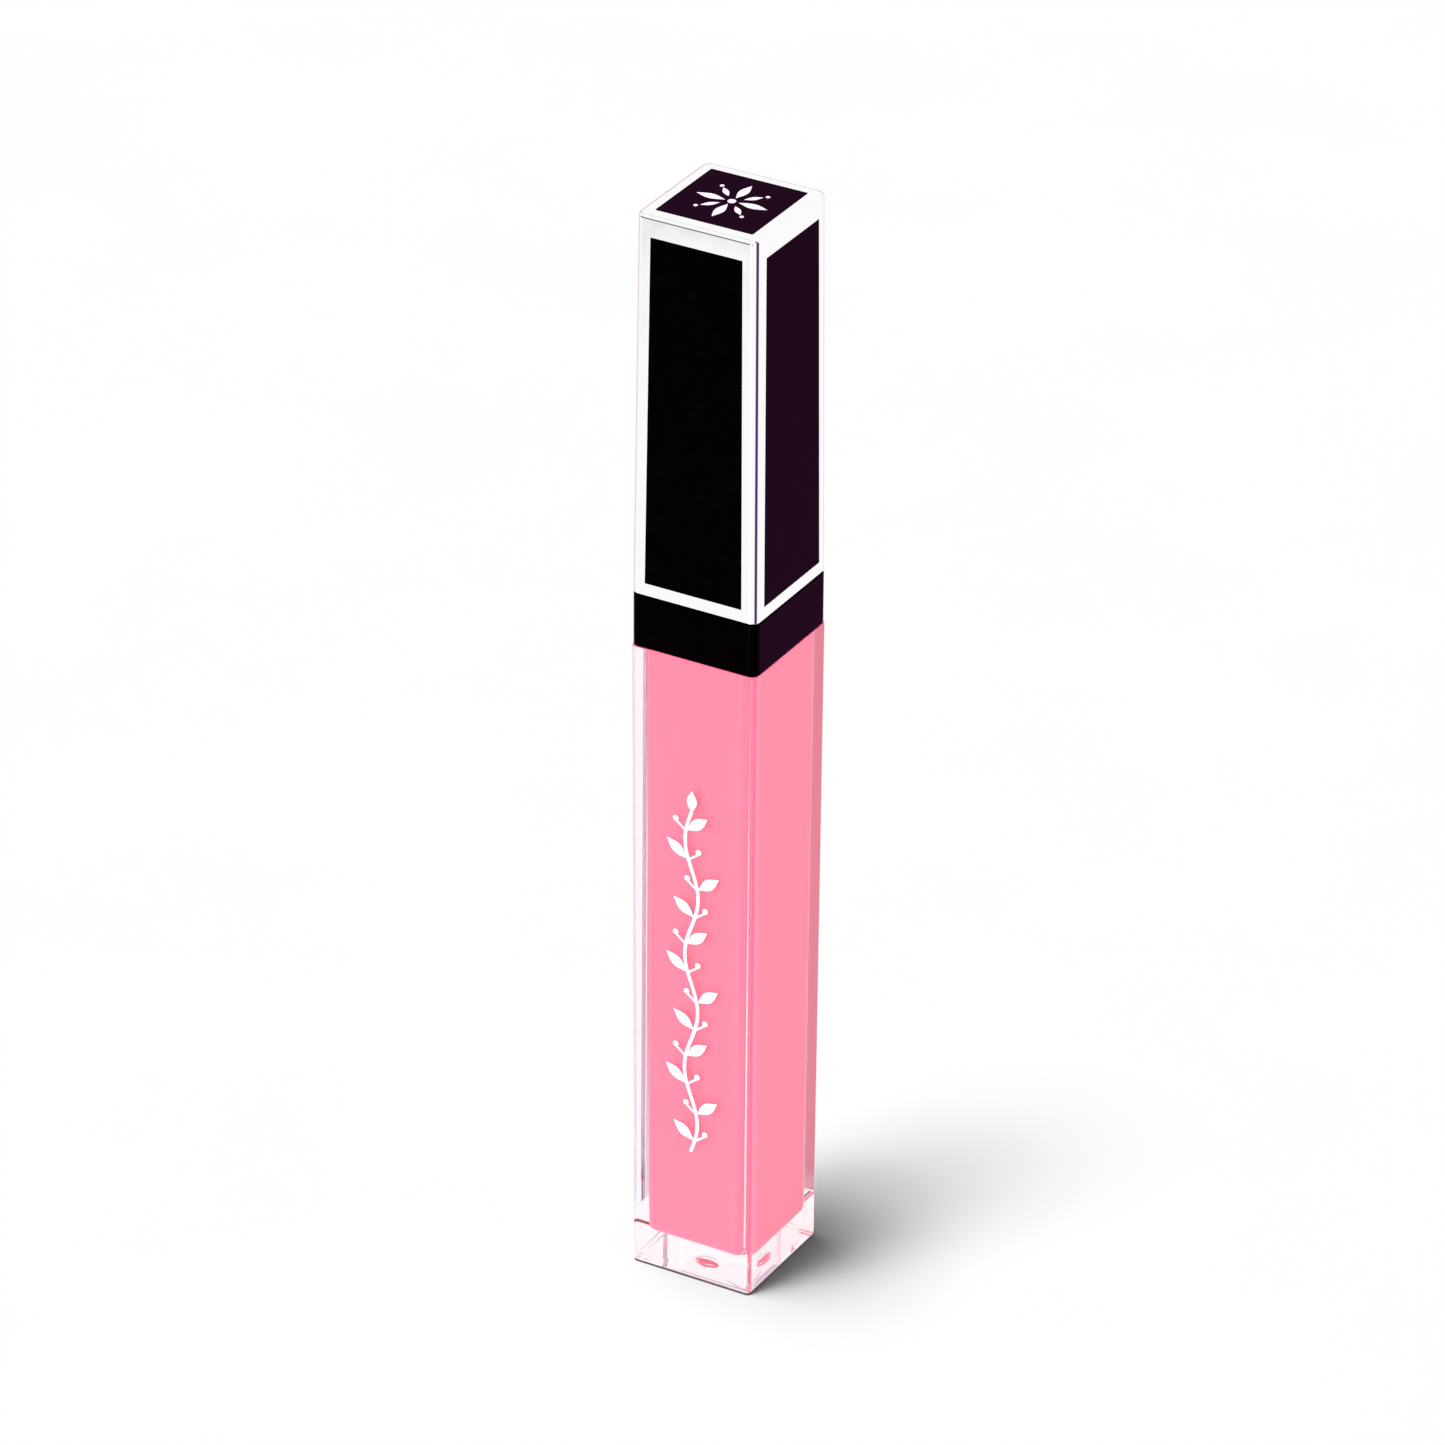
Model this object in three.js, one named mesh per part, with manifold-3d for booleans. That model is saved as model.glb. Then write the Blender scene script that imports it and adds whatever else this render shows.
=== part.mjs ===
// A slim square lip gloss tube: a thick-walled clear bottle filled with pink gloss, a black collar,
// and a tall bright cap with flush black panels that carries the wand.
// Millimetres, +Z up, origin at the centre of the base. The front face looks along -Y.
import * as THREE from "three";
import { mergeVertices } from "three/addons/utils/BufferGeometryUtils.js";
import Module from "manifold-3d";

const wasm = await Module();
wasm.setup();

// ---- driving dimensions ---------------------------------------------------------------------
const HALF_SIDE = 7.0; // half the width across the flats, at the collar
const CORNER_RADIUS = 0.9; // upright corners of the bottle, the collar and the cap
const TOTAL_HEIGHT = 117.0;
const SHOULDER_Z = 70.6; // top of the visible clear bottle
const COLLAR_TOP_Z = 76.3;
const RUNNING_GAP = 0.15; // between faces that slide or turn past each other
const FIT_GAP = 0.05; // between faces that are pressed or glued together
const OVERSHOOT = 1; // how far a cutting tool runs on past the face it opens

const bottle = {
  halfFoot: 6.8,
  footRounding: 0.6, // lower outside edges
  cavityHalfFoot: 5.47,
  cavityHalfTop: 5.8,
  cavityRadius: 1.0,
  cavityFloorZ: 3.7,
  cavityTopZ: 73.4,
  floorRounding: 0.6,
  plugHalf: 6.3, // square plug that the collar is pressed over
  plugRadius: 0.6,
  plugTopZ: 75.6,
  plugBevel: 0.2,
  neckRadius: 3.55,
  neckBoreRadius: 2.85,
  neckTopZ: 84.0,
  neckChamfer: 0.2,
  dimpleRadius: 1.4, // moulding dimple in the middle of the underside
  dimpleDepth: 0.45,
};

const thread = {
  pitch: 2.2,
  turns: 1.5,
  stepsPerTurn: 24,
  neckStartZ: 78.4,
  neckBeadRadius: 0.5,
  neckCrestRadius: 3.95,
  linerBeadRadius: 0.45,
  linerCrestRadius: 4.05,
};

const collar = {
  boreHalf: 6.4,
  boreRadius: 0.65,
  webThickness: 0.5,
  neckHoleRadius: 4.15,
  edgeBevel: 0.12,
};

const wiper = {
  flangeRadius: 3.5,
  flangeThickness: 0.6,
  bodyRadius: 2.75,
  wall: 0.4,
  footZ: 77.0,
  orificeRadius: 2.08,
  lipHeight: 0.9,
};

const washer = {
  outerRadius: 4.3,
  holeRadius: 1.7,
  thickness: 0.6,
};

const cap = {
  footZ: COLLAR_TOP_Z + RUNNING_GAP,
  halfTop: 6.66,
  topRounding: 0.42,
  cavityHalfFoot: 5.45,
  cavityHalfTop: 5.1,
  cavityRadius: 0.5,
  cavityTopZ: 115.0,
};

const panel = {
  thickness: 0.8,
  recessDepth: 0.9,
  footZ: 77.85,
  topZ: 114.7,
  halfFoot: 5.33,
  halfTop: 4.97,
  lidHalf: 5.28, // the square panel let into the top
  lidCornerRadius: 0.12,
  edgeBevel: 0.06,
};

const liner = {
  outerRadius: 5.15,
  boreRadius: 4.45,
  footZ: 76.9,
  ceilingZ: 85.4,
  plateThickness: 1.3,
  rodHoleRadius: 1.5,
  socketOuterRadius: 3.4,
  socketBoreRadius: 2.5,
  socketTopZ: 92.0,
  ribReach: 6.3, // distance of a rib's tip from the axis
  ribThickness: 0.8,
  ribRoot: 0.3, // how deep a rib starts inside the liner's wall
  ribInset: 1, // from the liner's foot and from the top of its plate
};

const weight = {
  radius: 4.6,
  footZ: 93.5,
  topZ: 111.5,
  edgeChamfer: 0.5,
};

const rod = {
  radius: 1.4,
  headRadius: 2.4,
  headTopZ: 91.0,
  tenonRadius: 0.7,
  tenonHeight: 3.5,
  tenonHoleHeight: 4,
};

const applicator = {
  topZ: 19.0,
  tipZ: 6.2,
  coreRadius: 0.95,
  coreTipZ: 7.6,
  coreTipRounding: 0.8,
  coreFlockThickness: 0.4, // of the flock over the core's slanted face
  shoulderHeight: 1,
  flockRadius: 1.9,
  flockNeckRadius: 1.35,
  flatness: 0.82, // depth over width of the flocked tip
  slantFromZ: 12.6, // the slanted lip face starts here on the front
  slantRun: 0.35, // how far behind the axis the slanted face meets the tip
};

const gloss = {
  topZ: 72.6,
  wandBoreRadius: 2.2,
  wandBoreFloorZ: 5.5,
};

const ROUND_SEGMENTS = 32;
const CORNER_SEGMENTS = 5;

// ---- solids ---------------------------------------------------------------------------------
function toSolid(geometry) {
  const bare = geometry.clone();
  bare.deleteAttribute("normal");
  bare.deleteAttribute("uv");
  const merged = mergeVertices(bare, 1e-4);
  return new wasm.Manifold(
    new wasm.Mesh({
      numProp: 3,
      vertProperties: merged.attributes.position.array,
      triVerts: new Uint32Array(merged.index.array),
    }),
  );
}

function toGeometry(solid) {
  const mesh = solid.getMesh();
  const geometry = new THREE.BufferGeometry();
  geometry.setAttribute("position", new THREE.BufferAttribute(mesh.vertProperties, 3));
  geometry.setIndex(new THREE.BufferAttribute(mesh.triVerts, 1));
  geometry.computeVertexNormals();
  return geometry;
}

function join(first, ...others) {
  return others.reduce((sum, other) => sum.add(other), first);
}

function cut(first, ...tools) {
  return tools.reduce((rest, tool) => rest.subtract(tool), first);
}

// A square outline with round corners, centred on the axis.
function squareOutline(half, radius) {
  const inner = half - radius;
  const shape = new THREE.Shape();
  const quarter = Math.PI / 2;
  shape.absarc(inner, -inner, radius, -quarter, 0);
  shape.absarc(inner, inner, radius, 0, quarter);
  shape.absarc(-inner, inner, radius, quarter, 2 * quarter);
  shape.absarc(-inner, -inner, radius, 2 * quarter, 3 * quarter);
  return shape;
}

// A square column from lowZ to highZ whose half width runs from halfLow to halfHigh.
function squareColumn({ halfLow, halfHigh = halfLow, radius, lowZ, highZ, bevel = 0, bevelSteps = 2 }) {
  const height = highZ - lowZ;
  const geometry = new THREE.ExtrudeGeometry(squareOutline(halfLow, radius), {
    depth: height - 2 * bevel,
    curveSegments: CORNER_SEGMENTS,
    bevelEnabled: bevel > 0,
    bevelThickness: bevel,
    bevelSize: bevel,
    bevelOffset: -bevel,
    bevelSegments: bevelSteps,
  });
  geometry.translate(0, 0, bevel);
  const position = geometry.getAttribute("position");
  for (let i = 0; i < position.count; i++) {
    const share = position.getZ(i) / height;
    const width = (halfLow + (halfHigh - halfLow) * share) / halfLow;
    position.setX(i, position.getX(i) * width);
    position.setY(i, position.getY(i) * width);
  }
  geometry.translate(0, 0, lowZ);
  return toSolid(geometry);
}

// A solid of revolution about the vertical axis. The profile is a list of [radius, z], from the
// lowest point on the axis round the outside to the highest point on the axis.
function turned(profile, segments = ROUND_SEGMENTS) {
  const points = profile.map(([radius, z]) => new THREE.Vector2(radius, z));
  const geometry = new THREE.LatheGeometry(points, segments);
  geometry.rotateX(Math.PI / 2);
  return toSolid(geometry);
}

function roundBar(radius, lowZ, highZ) {
  return turned([[0, lowZ], [radius, lowZ], [radius, highZ], [0, highZ]]);
}

class Helix extends THREE.Curve {
  constructor(radius, startZ, pitch, turns) {
    super();
    Object.assign(this, { radius, startZ, pitch, turns });
  }
  getPoint(share, target = new THREE.Vector3()) {
    const angle = share * this.turns * 2 * Math.PI;
    return target.set(
      this.radius * Math.cos(angle),
      this.radius * Math.sin(angle),
      this.startZ + share * this.turns * this.pitch,
    );
  }
}

// A right-hand thread, as one round bead wound on a helix.
function threadBead(centreRadius, beadRadius, startZ) {
  const section = new THREE.Shape();
  section.absarc(0, 0, beadRadius, 0, 2 * Math.PI);
  const path = new Helix(centreRadius, startZ, thread.pitch, thread.turns);
  const geometry = new THREE.ExtrudeGeometry(section, {
    steps: Math.round(thread.turns * thread.stepsPerTurn),
    curveSegments: 4,
    extrudePath: path,
    bevelEnabled: false,
  });
  return toSolid(geometry);
}

// ---- the bottle and what stays on it ----------------------------------------------------------
// The cavity, or with shrink > 0 what fills it, up to a level.
function bottleFill(shrink, topZ) {
  const rise = (topZ - bottle.cavityFloorZ) / (bottle.cavityTopZ - bottle.cavityFloorZ);
  return squareColumn({
    halfLow: bottle.cavityHalfFoot - shrink,
    halfHigh: bottle.cavityHalfFoot + (bottle.cavityHalfTop - bottle.cavityHalfFoot) * rise - shrink,
    radius: bottle.cavityRadius,
    lowZ: bottle.cavityFloorZ + shrink,
    highZ: topZ,
    bevel: bottle.floorRounding,
    bevelSteps: 3,
  });
}

// The thick outside of the bottle: round along its foot, sharp at the shoulder under the collar.
function bottleBody() {
  const column = squareColumn({
    halfLow: bottle.halfFoot,
    halfHigh: HALF_SIDE,
    radius: CORNER_RADIUS,
    lowZ: 0,
    highZ: SHOULDER_Z + bottle.footRounding,
    bevel: bottle.footRounding,
  });
  const aboveShoulder = squareColumn({
    halfLow: 2 * HALF_SIDE,
    radius: CORNER_RADIUS,
    lowZ: SHOULDER_Z,
    highZ: COLLAR_TOP_Z,
  });
  return cut(column, aboveShoulder);
}

function bottleNeck() {
  const { neckRadius, neckTopZ, neckChamfer, plugTopZ } = bottle;
  const neck = turned([
    [0, plugTopZ - OVERSHOOT],
    [neckRadius, plugTopZ - OVERSHOOT],
    [neckRadius, neckTopZ - neckChamfer],
    [neckRadius - neckChamfer, neckTopZ],
    [0, neckTopZ],
  ]);
  const beadPathRadius = thread.neckCrestRadius - thread.neckBeadRadius;
  return join(neck, threadBead(beadPathRadius, thread.neckBeadRadius, thread.neckStartZ));
}

function dimpleTool() {
  const steps = 4;
  const profile = [[0, -OVERSHOOT], [bottle.dimpleRadius, -OVERSHOOT]];
  for (let i = 0; i < steps; i++) {
    const angle = (i / steps) * (Math.PI / 2);
    profile.push([bottle.dimpleRadius * Math.cos(angle), bottle.dimpleDepth * Math.sin(angle)]);
  }
  profile.push([0, bottle.dimpleDepth]);
  return turned(profile);
}

function makeBottle() {
  const plug = squareColumn({
    halfLow: bottle.plugHalf,
    radius: bottle.plugRadius,
    lowZ: SHOULDER_Z - 2 * OVERSHOOT,
    highZ: bottle.plugTopZ,
    bevel: bottle.plugBevel,
    bevelSteps: 1,
  });
  const neckBoreTopZ = bottle.neckTopZ + OVERSHOOT;
  return cut(
    join(bottleBody(), plug, bottleNeck()),
    bottleFill(0, bottle.cavityTopZ),
    roundBar(bottle.neckBoreRadius, bottle.cavityTopZ - OVERSHOOT, neckBoreTopZ),
    dimpleTool(),
  );
}

function makeGloss() {
  return cut(
    bottleFill(FIT_GAP, gloss.topZ),
    roundBar(gloss.wandBoreRadius, gloss.wandBoreFloorZ, bottle.neckTopZ),
  );
}

function makeCollar() {
  const outside = squareColumn({
    halfLow: HALF_SIDE,
    radius: CORNER_RADIUS,
    lowZ: SHOULDER_Z + FIT_GAP,
    highZ: COLLAR_TOP_Z,
    bevel: collar.edgeBevel,
    bevelSteps: 1,
  });
  const bore = squareColumn({
    halfLow: collar.boreHalf,
    radius: collar.boreRadius,
    lowZ: SHOULDER_Z - OVERSHOOT,
    highZ: COLLAR_TOP_Z - collar.webThickness,
  });
  const neckHole = roundBar(collar.neckHoleRadius, SHOULDER_Z, COLLAR_TOP_Z + OVERSHOOT);
  return cut(outside, bore, neckHole);
}

function makeWiper() {
  const flangeZ = bottle.neckTopZ + FIT_GAP;
  const flangeTopZ = flangeZ + wiper.flangeThickness;
  const innerRadius = wiper.bodyRadius - wiper.wall;
  return turned([
    [wiper.orificeRadius, wiper.footZ],
    [wiper.bodyRadius, wiper.footZ],
    [wiper.bodyRadius, flangeZ],
    [wiper.flangeRadius, flangeZ],
    [wiper.flangeRadius, flangeTopZ],
    [innerRadius, flangeTopZ],
    [innerRadius, wiper.footZ + wiper.lipHeight],
    [wiper.orificeRadius, wiper.footZ + wiper.lipHeight / 2],
    [wiper.orificeRadius, wiper.footZ],
  ]);
}

// ---- the cap and the wand ---------------------------------------------------------------------
const capSlope = (HALF_SIDE - cap.halfTop) / (TOTAL_HEIGHT - cap.footZ);
const capLean = Math.atan(capSlope);

// Distance of the cap's side faces from the axis at a height.
function capHalf(z) {
  return HALF_SIDE - capSlope * (z - cap.footZ);
}

// A side panel, or with grow > 0 the recess for it, in the panel's own frame: X across the face,
// Y up the face, Z out of it, with the origin on the face at the middle of the lower edge.
function sidePanelGeometry(grow, depth, proud, bevel) {
  const length = (panel.topZ - panel.footZ) / Math.cos(capLean);
  const shape = new THREE.Shape();
  shape.moveTo(-panel.halfFoot - grow, -grow);
  shape.lineTo(panel.halfFoot + grow, -grow);
  shape.lineTo(panel.halfTop + grow, length + grow);
  shape.lineTo(-panel.halfTop - grow, length + grow);
  shape.closePath();
  const geometry = new THREE.ExtrudeGeometry(shape, {
    depth: depth + proud - 2 * bevel,
    bevelEnabled: bevel > 0,
    bevelThickness: bevel,
    bevelSize: bevel,
    bevelOffset: -bevel,
    bevelSegments: 1,
  });
  return geometry.translate(0, 0, bevel - depth);
}

// Stands a side panel up on the front face, leaning back with it.
function placeOnFront(object) {
  object.rotation.x = Math.PI / 2 - capLean;
  object.position.set(0, -capHalf(panel.footZ), panel.footZ);
  object.updateMatrix();
  return object;
}

function lidPanel(grow, lowZ, highZ, bevel) {
  return squareColumn({
    halfLow: panel.lidHalf + grow,
    radius: panel.lidCornerRadius,
    lowZ,
    highZ,
    bevel,
    bevelSteps: 1,
  });
}

function makeCapFrame() {
  const blankFootZ = cap.footZ - cap.topRounding;
  const blank = squareColumn({
    halfLow: capHalf(blankFootZ),
    halfHigh: cap.halfTop,
    radius: CORNER_RADIUS,
    lowZ: blankFootZ,
    highZ: TOTAL_HEIGHT,
    bevel: cap.topRounding,
    bevelSteps: 3,
  });
  const belowFoot = squareColumn({
    halfLow: 2 * HALF_SIDE,
    radius: CORNER_RADIUS,
    lowZ: blankFootZ - OVERSHOOT,
    highZ: cap.footZ,
  });
  const cavity = squareColumn({
    halfLow: cap.cavityHalfFoot,
    halfHigh: cap.cavityHalfTop,
    radius: cap.cavityRadius,
    lowZ: cap.footZ - OVERSHOOT,
    highZ: cap.cavityTopZ,
  });
  const frontMatrix = placeOnFront(new THREE.Object3D()).matrix;
  const recesses = [];
  for (let face = 0; face < 4; face++) {
    const geometry = sidePanelGeometry(FIT_GAP, panel.recessDepth, OVERSHOOT, 0);
    geometry.applyMatrix4(frontMatrix);
    geometry.rotateZ((face * Math.PI) / 2);
    recesses.push(toSolid(geometry));
  }
  const lidFloorZ = TOTAL_HEIGHT - panel.recessDepth;
  recesses.push(lidPanel(FIT_GAP, lidFloorZ, TOTAL_HEIGHT + OVERSHOOT, 0));
  return cut(blank, belowFoot, cavity, ...recesses);
}

function makeLiner() {
  const plateTopZ = liner.ceilingZ + liner.plateThickness;
  const shell = turned([
    [liner.boreRadius, liner.footZ],
    [liner.outerRadius, liner.footZ],
    [liner.outerRadius, plateTopZ],
    [liner.socketOuterRadius, plateTopZ],
    [liner.socketOuterRadius, liner.socketTopZ],
    [liner.socketBoreRadius, liner.socketTopZ],
    [liner.socketBoreRadius, plateTopZ],
    [liner.rodHoleRadius, plateTopZ],
    [liner.rodHoleRadius, liner.ceilingZ],
    [liner.boreRadius, liner.ceilingZ],
    [liner.boreRadius, liner.footZ],
  ]);
  const bead = threadBead(
    thread.linerCrestRadius + thread.linerBeadRadius,
    thread.linerBeadRadius,
    thread.neckStartZ - thread.pitch / 2,
  );
  const ribLowZ = liner.footZ + liner.ribInset;
  const ribHighZ = plateTopZ - liner.ribInset;
  const ribInnerRadius = liner.outerRadius - liner.ribRoot;
  const ribs = [];
  for (let corner = 0; corner < 4; corner++) {
    const rib = new THREE.BoxGeometry(
      liner.ribReach - ribInnerRadius,
      liner.ribThickness,
      ribHighZ - ribLowZ,
    );
    rib.translate((liner.ribReach + ribInnerRadius) / 2, 0, (ribLowZ + ribHighZ) / 2);
    rib.rotateZ(Math.PI / 4 + (corner * Math.PI) / 2);
    ribs.push(toSolid(rib));
  }
  return join(shell, bead, ...ribs);
}

function makeWasher() {
  const lowZ = bottle.neckTopZ + FIT_GAP + wiper.flangeThickness + FIT_GAP;
  const highZ = lowZ + washer.thickness;
  return turned([
    [washer.holeRadius, lowZ],
    [washer.outerRadius, lowZ],
    [washer.outerRadius, highZ],
    [washer.holeRadius, highZ],
    [washer.holeRadius, lowZ],
  ]);
}

function makeWeight() {
  const { radius, footZ, topZ, edgeChamfer } = weight;
  return turned([
    [0, footZ],
    [radius - edgeChamfer, footZ],
    [radius, footZ + edgeChamfer],
    [radius, topZ - edgeChamfer],
    [radius - edgeChamfer, topZ],
    [0, topZ],
  ]);
}

function makeRod() {
  const headZ = liner.ceilingZ + liner.plateThickness + FIT_GAP;
  const tenonHoleTopZ = applicator.topZ + rod.tenonHoleHeight;
  const shaft = turned([
    [0, applicator.topZ],
    [rod.radius, applicator.topZ],
    [rod.radius, headZ],
    [rod.headRadius, headZ],
    [rod.headRadius, rod.headTopZ],
    [0, rod.headTopZ],
  ]);
  const tenonHole = roundBar(rod.tenonRadius + FIT_GAP, applicator.topZ - OVERSHOOT, tenonHoleTopZ);
  return cut(shaft, tenonHole);
}

// Everything in front of the slanted lip face, moved back into the tip by an inset.
function slantTool(inset) {
  const frontY = -applicator.flockRadius * applicator.flatness;
  const run = applicator.slantRun - frontY;
  const drop = applicator.slantFromZ - applicator.tipZ;
  const size = 20;
  const geometry = new THREE.BoxGeometry(size, size, size);
  geometry.translate(0, -size / 2 + inset, 0);
  geometry.rotateX(Math.atan2(run, drop));
  geometry.translate(0, frontY, applicator.slantFromZ);
  return toSolid(geometry);
}

// The slanted blade inside the flock, or with grow > 0 the pocket for it.
function coreBlade(grow) {
  const radius = applicator.coreRadius + grow;
  const tipZ = applicator.coreTipZ - grow;
  const rootZ = applicator.topZ - applicator.shoulderHeight + 2 * FIT_GAP;
  const blade = turned([
    [0, tipZ],
    [radius * 0.6, tipZ + applicator.coreTipRounding * 0.2],
    [radius, tipZ + applicator.coreTipRounding],
    [radius, rootZ],
    [0, rootZ],
  ]);
  return cut(blade, slantTool(applicator.coreFlockThickness - grow));
}

function makeApplicatorCore() {
  const shoulderLowZ = applicator.topZ - applicator.shoulderHeight;
  const shoulder = roundBar(rod.radius - 2 * FIT_GAP, shoulderLowZ, applicator.topZ - FIT_GAP);
  const tenon = roundBar(rod.tenonRadius, shoulderLowZ, applicator.topZ + rod.tenonHeight);
  return join(coreBlade(0), shoulder, tenon);
}

function makeApplicatorFlock() {
  const { flockRadius, flockNeckRadius, tipZ, topZ, shoulderHeight } = applicator;
  const sleeveTopZ = topZ - shoulderHeight - FIT_GAP;
  const points = [
    new THREE.Vector2(0, tipZ),
    new THREE.Vector2(flockRadius * 0.62, tipZ + 0.45),
    new THREE.Vector2(flockRadius * 0.95, tipZ + 1.9),
    new THREE.Vector2(flockRadius, tipZ + 4),
    new THREE.Vector2(flockRadius * 0.93, tipZ + 7),
    new THREE.Vector2(flockNeckRadius, sleeveTopZ - 1.2),
    new THREE.Vector2(flockNeckRadius * 0.97, sleeveTopZ - 0.3),
  ];
  const outline = new THREE.SplineCurve(points).getPoints(14);
  outline.push(new THREE.Vector2(flockNeckRadius * 0.9, sleeveTopZ), new THREE.Vector2(0, sleeveTopZ));
  const geometry = new THREE.LatheGeometry(outline, ROUND_SEGMENTS);
  geometry.rotateX(Math.PI / 2);
  geometry.scale(1, applicator.flatness, 1);
  const pocketRadius = applicator.coreRadius + FIT_GAP;
  const throat = roundBar(pocketRadius, sleeveTopZ - 2 * OVERSHOOT, sleeveTopZ + OVERSHOOT);
  return cut(toSolid(geometry), slantTool(0), coreBlade(FIT_GAP), throat);
}

// ---- the assembly -----------------------------------------------------------------------------
const finish = {
  clearPlastic: { color: 0xf3e6ee, roughness: 0.05, metalness: 0, transparent: true, opacity: 0.35 },
  pinkGloss: { color: 0xf992b0, roughness: 0.25, metalness: 0 },
  blackPlastic: { color: 0x0a080a, roughness: 0.12, metalness: 0 },
  chromePlate: { color: 0xe9e6ec, roughness: 0.08, metalness: 1 },
  whitePlastic: { color: 0xf2f0ee, roughness: 0.45, metalness: 0 },
  foam: { color: 0xe8e4dc, roughness: 0.9, metalness: 0 },
  steel: { color: 0x9a9a98, roughness: 0.4, metalness: 1 },
  flock: { color: 0xf4a3bb, roughness: 1, metalness: 0 },
};

function named(name, look, geometry) {
  const mesh = new THREE.Mesh(geometry, new THREE.MeshStandardMaterial(look));
  mesh.name = name;
  return mesh;
}

const bottleGroup = new THREE.Group();
bottleGroup.add(
  named("bottle", finish.clearPlastic, toGeometry(makeBottle())),
  named("gloss", finish.pinkGloss, toGeometry(makeGloss())),
  named("collar", finish.blackPlastic, toGeometry(makeCollar())),
  named("wiper", finish.whitePlastic, toGeometry(makeWiper())),
);

const capGroup = new THREE.Group();
capGroup.add(
  named("cap_frame", finish.chromePlate, toGeometry(makeCapFrame())),
  named("cap_liner", finish.whitePlastic, toGeometry(makeLiner())),
  named("cap_weight", finish.steel, toGeometry(makeWeight())),
  named("wand_rod", finish.whitePlastic, toGeometry(makeRod())),
  named("applicator_core", finish.whitePlastic, toGeometry(makeApplicatorCore())),
  named("applicator_flock", finish.flock, toGeometry(makeApplicatorFlock())),
  named(
    "panel_top",
    finish.blackPlastic,
    toGeometry(lidPanel(0, TOTAL_HEIGHT - panel.thickness, TOTAL_HEIGHT, panel.edgeBevel)),
  ),
);
["front", "right", "back", "left"].forEach((side, quarterTurns) => {
  const face = new THREE.Group();
  face.rotation.z = (quarterTurns * Math.PI) / 2;
  const geometry = sidePanelGeometry(0, panel.thickness, 0, panel.edgeBevel);
  face.add(placeOnFront(named("panel_" + side, finish.blackPlastic, geometry)));
  capGroup.add(face);
});

const tube = new THREE.Group();
tube.add(bottleGroup, named("seal_washer", finish.foam, toGeometry(makeWasher())), capGroup);

export default tube;
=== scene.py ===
"""The finished look of a slim square lip gloss tube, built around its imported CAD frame.

Sizes inside the builders are in millimetres and are turned into metres when a mesh is made. The
floor and the camera's place are in metres.
"""

import math

import bmesh
import bpy
from mathutils import Matrix, Vector


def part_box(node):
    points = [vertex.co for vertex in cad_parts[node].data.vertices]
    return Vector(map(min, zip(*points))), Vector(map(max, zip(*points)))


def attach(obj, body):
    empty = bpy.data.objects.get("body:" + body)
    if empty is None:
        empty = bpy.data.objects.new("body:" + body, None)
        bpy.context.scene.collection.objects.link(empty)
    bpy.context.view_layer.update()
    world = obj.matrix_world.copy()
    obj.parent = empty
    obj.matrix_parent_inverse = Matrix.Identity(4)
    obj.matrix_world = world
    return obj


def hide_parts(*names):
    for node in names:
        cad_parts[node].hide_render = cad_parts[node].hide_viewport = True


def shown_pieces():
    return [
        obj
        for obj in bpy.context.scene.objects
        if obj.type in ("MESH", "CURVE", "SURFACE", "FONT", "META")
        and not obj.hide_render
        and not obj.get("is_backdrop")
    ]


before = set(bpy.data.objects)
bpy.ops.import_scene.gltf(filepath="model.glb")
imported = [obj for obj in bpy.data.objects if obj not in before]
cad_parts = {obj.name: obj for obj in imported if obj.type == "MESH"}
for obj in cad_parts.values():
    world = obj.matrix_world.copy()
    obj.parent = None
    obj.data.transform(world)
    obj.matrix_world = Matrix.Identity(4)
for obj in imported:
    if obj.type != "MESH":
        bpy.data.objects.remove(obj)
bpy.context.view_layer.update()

MM = 0.001
CORNER_STEPS = 10  # steps round a quarter turn of every outline
EDGE_STEPS = 5  # steps across a rounded edge


# ---- sizes read from the frame, in millimetres -------------------------------------------------
def span(node):
    """A CAD node's lowest and highest corners, in millimetres."""
    low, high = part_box(node)
    return low / MM, high / MM


HALF_SIDE = span("collar")[1].x
HEIGHT = span("cap_frame")[1].z
CAP_FOOT = span("cap_frame")[0].z
COLLAR_LOW = span("collar")[0].z
COLLAR_TOP = span("collar")[1].z
NECK_TOP = span("bottle")[1].z
GLOSS_LOW = span("gloss")[0].z
GLOSS_TOP = span("gloss")[1].z
PANEL_LOW = span("panel_front")[0].z
PANEL_TOP = span("panel_front")[1].z
PANEL_HALF_FOOT = span("panel_front")[1].x
LID_HALF = span("panel_top")[1].x

# Sizes that the frame's boxes don't give, as the CAD model has them.
CORNER_RADIUS = 0.9
BOTTLE_HALF_FOOT = 6.8
CAP_HALF_TOP = 6.66
CAP_TOP_ROUNDING = 0.42
PANEL_HALF_TOP = 4.97
RECESS_DEPTH = 0.9
FIT_GAP = 0.05  # between faces that are pressed or glued together
SHOULDER = COLLAR_LOW - FIT_GAP
CAVITY_FLOOR = GLOSS_LOW - FIT_GAP


def blend_value(low, high, share):
    return low + (high - low) * share


def cap_half(z):
    """Half width of the cap's tapering column at a height."""
    return blend_value(HALF_SIDE, CAP_HALF_TOP, (z - CAP_FOOT) / (HEIGHT - CAP_FOOT))


def bottle_half(z):
    return blend_value(BOTTLE_HALF_FOOT, HALF_SIDE, z / SHOULDER)


# ---- mesh builders -----------------------------------------------------------------------------
def ring(half, radius, z):
    """A square outline with round corners at one height. With radius equal to half it is a circle."""
    inner = half - radius
    points = []
    for corner in range(4):
        sign_x = 1 if corner in (0, 3) else -1
        sign_y = 1 if corner in (0, 1) else -1
        for step in range(CORNER_STEPS + 1):
            angle = (corner + step / CORNER_STEPS) * math.pi / 2
            x = inner * sign_x + radius * math.cos(angle)
            y = inner * sign_y + radius * math.sin(angle)
            points.append((x, y, z))
    return points


def circle(radius, z):
    return ring(radius, radius, z)


def on_axis(z):
    """A ring so small that mesh_piece merges it into one point on the axis."""
    return circle(1e-5, z)


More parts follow.
